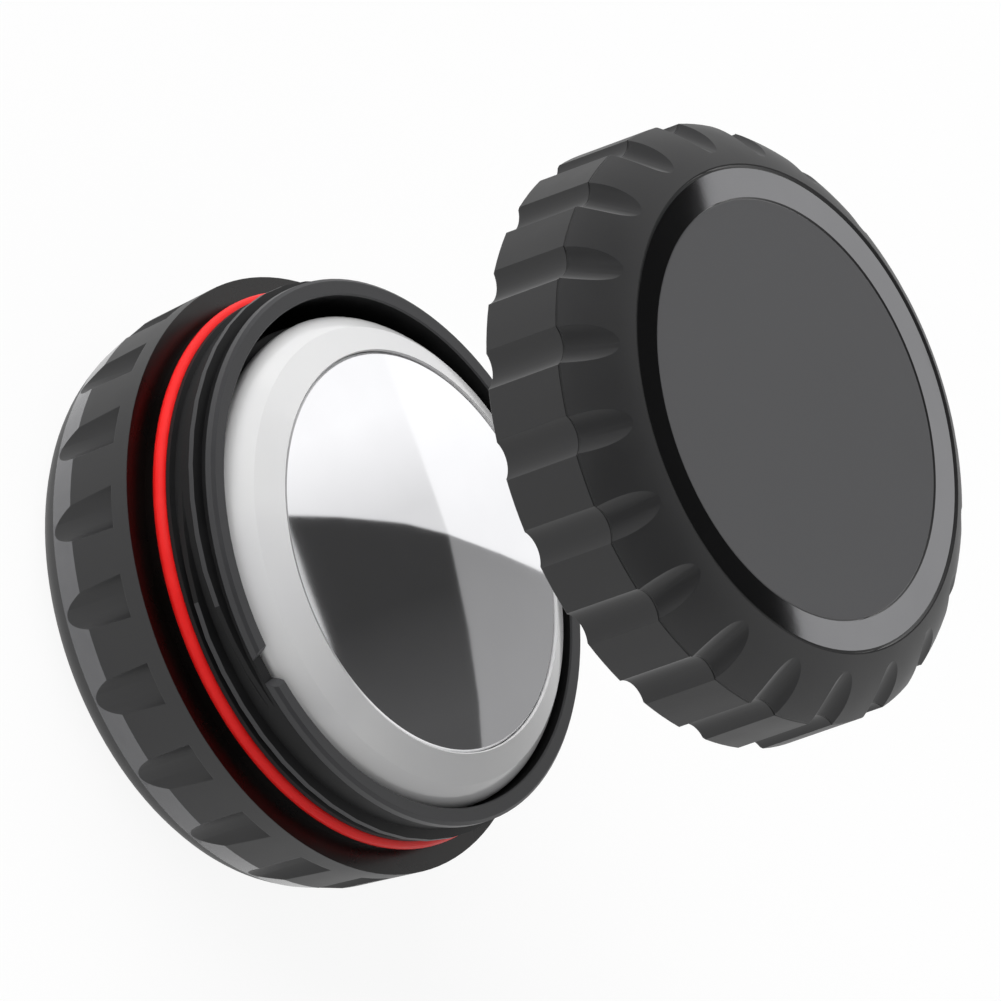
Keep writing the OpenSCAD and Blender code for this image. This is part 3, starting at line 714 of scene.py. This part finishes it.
# Cards that only reflections show, as a photographer sets round a black or polished thing. Each stands
# across the rays that the camera gets from a flat top face at that height. Outlines are in mm across and
# up the card, and the glow runs between two values over a span of it.
whiteEdge = [(-0.1, -2.3), (-3.0, -6.6), (-7.8, -13.0)]  # the two white cards share this edge
cards = {
    "coverDark": {
        "height": 16.6, "reach": 120.0, "glow": (0.10, 0.050), "span": (-14.0, -4.0),
        "outline": [(-19, -13), (19, -13), (19, 8), (8.5, 12.4), (0, 12.8), (-8, 12.6), (-19, 8)]},
    "coverGrey": {
        "height": 16.6, "reach": 119.5, "glow": (0.40, 0.34), "span": (-14.0, -2.0),
        "outline": [(-0.1, -2.3), (-8.0, -1.0), (-13.6, 0.3), (-20, 2.4), (-20, -14), (19, -14), (8, -6)]},
    "coverWhite": {
        "height": 16.6, "reach": 119.0, "glow": (0.93, 1.28), "span": (3.0, 11.0),
        "outline": [(6.8, 13.0), (5.8, 12.4), (4.2, 7.4), (2.8, 3.7), (1.9, 1.4), *whiteEdge,
                    (20, -13), (20, 8)]},
    "coverBright": {
        "height": 16.6, "reach": 118.5, "glow": (1.22, 1.33), "span": (0.0, 9.0),
        "outline": [*whiteEdge, (20, -13), (20, -2.4), (7.2, -2.4)]},
    "ringDark": {
        "height": 46.9, "reach": 232.0, "glow": (0.02, 0.02), "span": (0, 1),
        "outline": [(-40, 4.0), (40, -6.5), (40, 34), (-40, 34)]},
    "ringGrey": {
        "height": 46.9, "reach": 232.0, "glow": (0.79, 0.79), "span": (0, 1),
        "outline": [(-40, -30), (40, -30), (40, -6.5), (-40, 4.0)]},
}


def makeCard(name, card, ahead):
    across = Vector((0, 0, 1)).cross(ahead).normalized()
    rise = ahead.cross(across)
    middle = Vector((0, 0, mm(card["height"]))) + ahead * mm(card["reach"])
    corners = [(mm(right), mm(up), 0) for right, up in card["outline"]]
    mesh = bpy.data.meshes.new(name)
    mesh.from_pydata(corners, [], [list(range(len(corners)))])
    board = bpy.data.objects.new(name, mesh)
    turn = Matrix((across, rise, across.cross(rise))).transposed().to_4x4()
    board.matrix_world = Matrix.Translation(middle) @ turn
    scene.collection.objects.link(board)
    board.visible_camera = board.visible_diffuse = board.visible_shadow = False
    board.visible_transmission = board.visible_volume_scatter = False
    tree = emptyMaterial(board, name)
    place = addNode(tree, "ShaderNodeTexCoord")
    parts = addNode(tree, "ShaderNodeSeparateXYZ", {}, {0: place.outputs["Object"]})
    glow = addNode(tree, "ShaderNodeMapRange", {
        "From Min": mm(card["span"][0]), "From Max": mm(card["span"][1]),
        "To Min": card["glow"][0], "To Max": card["glow"][1],
    }, {"Value": parts.outputs["X"]})
    light = addNode(tree, "ShaderNodeEmission", {"Color": (1, 1, 1, 1)}, {
        "Strength": glow.outputs["Result"]})
    addNode(tree, "ShaderNodeOutputMaterial", {}, {"Surface": light.outputs[0]})


toCamera = backwards(photoView)
mirrored = Vector((-toCamera.x, -toCamera.y, toCamera.z))
for cardName, card in cards.items():
    makeCard(cardName, card, mirrored)

# Two dim flags, high in front and at the left, keep the shoulders of the black case from going grey
flags = {
    "frontFlag": {"height": 20.0, "half": 560, "reach": 700.0, "glow": 0.23, "towards": (0.05, -0.60, 0.80)},
    "leftFlag": {"height": 20.0, "half": 330, "reach": 690.0, "glow": 0.37, "towards": (-0.78, -0.10, 0.62)},
}
for flagName, flag in flags.items():
    half = flag["half"]
    makeCard(flagName, {
        **flag, "glow": (flag["glow"], flag["glow"]), "span": (0, 1),
        "outline": [(-half, -half), (half, -half), (half, half), (-half, half)],
    }, Vector(flag["towards"]).normalized())

# the cap over the tag would hide the cards from its polished cover
for piece in (capShell, faceRing, foams["foamLiner"], nodes["cap_face_disc"]):
    piece.visible_glossy = False
print("studio set up")
